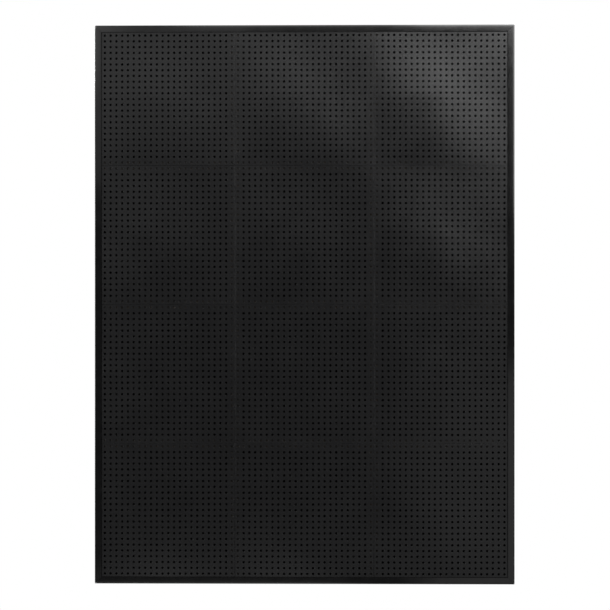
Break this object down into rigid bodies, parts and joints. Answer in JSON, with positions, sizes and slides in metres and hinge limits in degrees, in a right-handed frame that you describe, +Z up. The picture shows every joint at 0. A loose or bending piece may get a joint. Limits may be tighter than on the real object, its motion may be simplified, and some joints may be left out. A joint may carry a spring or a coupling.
{
  "type": "pegboard",
  "caption": "Framed black pegboard for a workshop wall: square perforated tiles in a mitred frame, with battens behind and two swinging D-ring hangers.",
  "frame": {"origin": "middle of the board on the wall plane, which is the plane of the bumpers' back faces", "axes": "+X to the board's right as seen from the front, +Y towards the wall, +Z up; the face looks to -Y"},
  "size_m": [0.9208, 0.024, 1.226],
  "materials": {
    "tile": "black satin paint on hardboard, finely pebbled",
    "frame": "black satin coating",
    "batten": "matt black stain",
    "zinc_steel": "bright zinc plate",
    "black_steel": "black oxide",
    "rubber": "matt"
  },
  "bodies": {
    "board": {"tile_row_1_column_1": "tile", "tile_row_1_column_2": "tile", "tile_row_1_column_3": "tile", "tile_row_2_column_1": "tile", "tile_row_2_column_2": "tile", "tile_row_2_column_3": "tile", "tile_row_3_column_1": "tile", "tile_row_3_column_2": "tile", "tile_row_3_column_3": "tile", "tile_row_4_column_1": "tile", "tile_row_4_column_2": "tile", "tile_row_4_column_3": "tile", "frame_rail_left": "frame", "frame_rail_top": "frame", "frame_rail_right": "frame", "frame_rail_bottom": "frame", "corner_key_bottom_left": "zinc_steel", "grub_screw_bottom_left_1": "black_steel", "grub_screw_bottom_left_2": "black_steel", "corner_key_top_left": "zinc_steel", "grub_screw_top_left_1": "black_steel", "grub_screw_top_left_2": "black_steel", "corner_key_top_right": "zinc_steel", "grub_screw_top_right_1": "black_steel", "grub_screw_top_right_2": "black_steel", "corner_key_bottom_right": "zinc_steel", "grub_screw_bottom_right_1": "black_steel", "grub_screw_bottom_right_2": "black_steel", "upright_batten_1": "batten", "upright_batten_2": "batten", "cross_batten_1": "batten", "cross_batten_2": "batten", "cross_batten_3": "batten", "frame_screw_left_1": "black_steel", "frame_screw_left_2": "black_steel", "frame_screw_left_3": "black_steel", "frame_screw_top_1": "black_steel", "frame_screw_top_2": "black_steel", "frame_screw_right_1": "black_steel", "frame_screw_right_2": "black_steel", "frame_screw_right_3": "black_steel", "frame_screw_bottom_1": "black_steel", "frame_screw_bottom_2": "black_steel", "hanger_strap_left": "zinc_steel", "hanger_screw_left_1": "zinc_steel", "hanger_screw_left_2": "zinc_steel", "hanger_strap_right": "zinc_steel", "hanger_screw_right_1": "zinc_steel", "hanger_screw_right_2": "zinc_steel", "wall_bumper_bottom_left": "rubber", "wall_bumper_top_left": "rubber", "wall_bumper_top_right": "rubber", "wall_bumper_bottom_right": "rubber"},
    "ring_left": {"hanger_ring_left": "zinc_steel"},
    "ring_right": {"hanger_ring_right": "zinc_steel"}
  },
  "joints": [
    {"name": "ring_left_swing", "type": "hinge", "parent": "board", "child": "ring_left", "pos_m": [-0.1526, -0.0033, 0.483], "axis": [1, 0, 0], "range_deg": [0, 180]},
    {"name": "ring_right_swing", "type": "hinge", "parent": "board", "child": "ring_right", "pos_m": [0.1526, -0.0033, 0.483], "axis": [1, 0, 0], "range_deg": [0, 180]}
  ]
}
